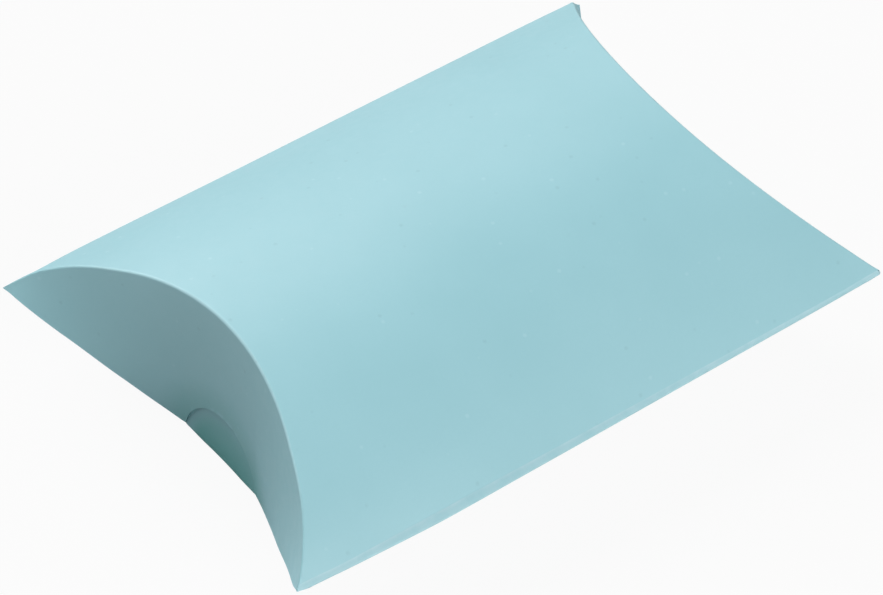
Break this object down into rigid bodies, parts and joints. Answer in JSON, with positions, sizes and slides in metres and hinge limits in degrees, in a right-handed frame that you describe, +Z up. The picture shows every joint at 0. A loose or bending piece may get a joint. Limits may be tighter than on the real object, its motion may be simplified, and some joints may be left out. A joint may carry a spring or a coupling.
{
  "type": "pillow box",
  "caption": "Small pillow-shaped gift box of pale blue card: arched panels between side folds, and dished end flaps on curved creases, the outer ones with a thumb notch.",
  "frame": {"origin": "middle of the flat strip under the lower panel, on the surface that the box lies on", "axes": "+X along the side folds, from the pictured end to the far end; +Y across the box, from the near side fold to the glued seam; +Z up"},
  "size_m": [0.0898, 0.062, 0.024],
  "materials": {
    "card": "satin coated card",
    "glue": "dried glue"
  },
  "bodies": {
    "box": {"upper_panel": "card", "lower_panel": "card", "near_side_fold": "card", "seam_side_fold": "card", "left_upper_crease": "card", "left_lower_crease": "card", "right_upper_crease": "card", "right_lower_crease": "card", "glue_flap": "card", "glue_line": "glue"},
    "left_outer_flap": {"left_outer_flap": "card"},
    "left_inner_flap": {"left_inner_flap": "card"},
    "right_outer_flap": {"right_outer_flap": "card"},
    "right_inner_flap": {"right_inner_flap": "card"}
  },
  "joints": [
    {"name": "left_outer_fold", "type": "hinge", "parent": "box", "child": "left_outer_flap", "pos_m": [-0.0332, 0, 0.02383], "axis": [0, 1, 0], "range_deg": [0, 90]},
    {"name": "left_inner_fold", "type": "hinge", "parent": "box", "child": "left_inner_flap", "pos_m": [-0.0325, 0, 0.0002], "axis": [0, -1, 0], "range_deg": [0, 54]},
    {"name": "right_outer_fold", "type": "hinge", "parent": "box", "child": "right_outer_flap", "pos_m": [0.0332, 0, 0.02383], "axis": [0, -1, 0], "range_deg": [0, 90]},
    {"name": "right_inner_fold", "type": "hinge", "parent": "box", "child": "right_inner_flap", "pos_m": [0.0325, 0, 0.0002], "axis": [0, 1, 0], "range_deg": [0, 54]}
  ],
  "couplings": [
    {"joint": "left_inner_fold", "follows": "left_outer_fold", "ratio": 0.6},
    {"joint": "right_inner_fold", "follows": "right_outer_fold", "ratio": 0.6}
  ]
}
